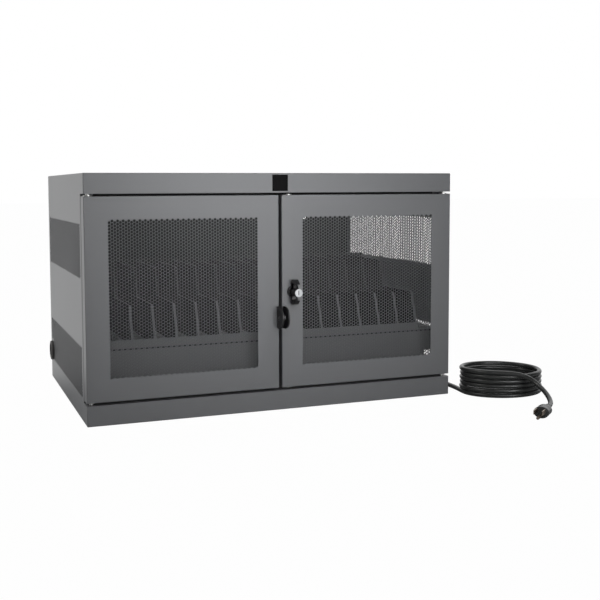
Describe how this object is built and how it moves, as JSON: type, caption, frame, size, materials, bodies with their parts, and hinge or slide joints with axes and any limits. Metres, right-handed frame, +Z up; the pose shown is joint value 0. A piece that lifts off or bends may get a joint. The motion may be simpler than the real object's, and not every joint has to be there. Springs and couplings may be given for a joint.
{
  "type": "device charging cabinet",
  "caption": "Low steel charging cabinet with two perforated pivoting doors, slotted trays for upright tablets, a crank-and-rod lock and a coiled mains lead.",
  "frame": {"origin": "middle of the base's underside, on the floor", "axes": "+Z up, the doors face -Y, +X to the right seen from the front"},
  "size_m": [0.7651, 0.6136, 0.368],
  "materials": {
    "cabinet_grey": "fine textured powder coat",
    "bright_zinc": "bright zinc plate",
    "chrome": "polished",
    "knob_black": "satin black",
    "black_plastic": "matte moulded",
    "cord_black": "satin cord sheath",
    "outlet_white": "matte moulded",
    "blade_brass": "nickel plated brass"
  },
  "bodies": {
    "cabinet": {"base_pan": "cabinet_grey", "top_cover": "cabinet_grey", "left_side_panel": "cabinet_grey", "right_side_panel": "cabinet_grey", "front_jambs": "cabinet_grey", "rear_jambs": "cabinet_grey", "rear_panel": "cabinet_grey", "rear_screws": "bright_zinc", "sill_rail": "cabinet_grey", "sill_strip": "cabinet_grey", "header_rail": "cabinet_grey", "pivot_pins": "bright_zinc", "badge_plate": "black_plastic", "left_door_catch": "black_plastic", "device_shelf": "cabinet_grey", "shelf_brackets": "cabinet_grey", "lower_front_panel": "cabinet_grey", "left_tray": "cabinet_grey", "right_tray": "cabinet_grey", "left_dividers": "cabinet_grey", "right_dividers": "cabinet_grey", "left_outlet_strip": "black_plastic", "right_outlet_strip": "black_plastic", "left_outlets": "outlet_white", "right_outlets": "outlet_white", "strip_link": "cord_black", "inner_lead": "cord_black", "hole_plug": "black_plastic", "cord_gland": "black_plastic", "cord_lead": "cord_black", "cord_coil": "cord_black", "cord_tail": "cord_black", "plug_body": "cord_black", "plug_blades": "blade_brass"},
    "left_door": {"left_door_panel": "cabinet_grey", "left_door_bushes": "bright_zinc", "left_lug": "knob_black", "left_lug_rivets": "bright_zinc", "left_catch_plate": "bright_zinc"},
    "right_door": {"right_door_panel": "cabinet_grey", "right_door_bushes": "bright_zinc", "right_lug": "knob_black", "right_lug_rivets": "bright_zinc", "lock_collar": "knob_black", "lock_barrel": "bright_zinc", "lock_nut": "bright_zinc", "rod_bushes": "bright_zinc", "rod_guides": "black_plastic"},
    "lock": {"lock_knob": "knob_black", "lock_spindle": "bright_zinc"},
    "key": {"key_cylinder": "chrome"},
    "upper_latch": {"upper_rod": "bright_zinc"},
    "lower_latch": {"lower_rod": "bright_zinc"}
  },
  "joints": [
    {"name": "left_door_hinge", "type": "hinge", "parent": "cabinet", "child": "left_door", "pos_m": [-0.292, -0.189, 0.1845], "axis": [0, 0, 1], "range_deg": [-105, 0]},
    {"name": "right_door_hinge", "type": "hinge", "parent": "cabinet", "child": "right_door", "pos_m": [0.292, -0.189, 0.1845], "axis": [0, 0, 1], "range_deg": [0, 105]},
    {"name": "lock_turn", "type": "hinge", "parent": "right_door", "child": "lock", "pos_m": [0.021, -0.2, 0.1845], "axis": [0, -1, 0], "range_deg": [0, 90]},
    {"name": "key_turn", "type": "hinge", "parent": "lock", "child": "key", "pos_m": [0.021, -0.2243, 0.1845], "axis": [0, -1, 0], "range_deg": [0, 90]},
    {"name": "upper_latch_slide", "type": "slide", "parent": "right_door", "child": "upper_latch", "axis": [0, 0, 1], "range_m": [0, 0.01414]},
    {"name": "lower_latch_slide", "type": "slide", "parent": "right_door", "child": "lower_latch", "axis": [0, 0, -1], "range_m": [0, 0.01414]}
  ],
  "couplings": [
    {"joint": "upper_latch_slide", "follows": "lock_turn", "m_per_rad": 0.009003},
    {"joint": "lower_latch_slide", "follows": "lock_turn", "m_per_rad": 0.009003}
  ]
}
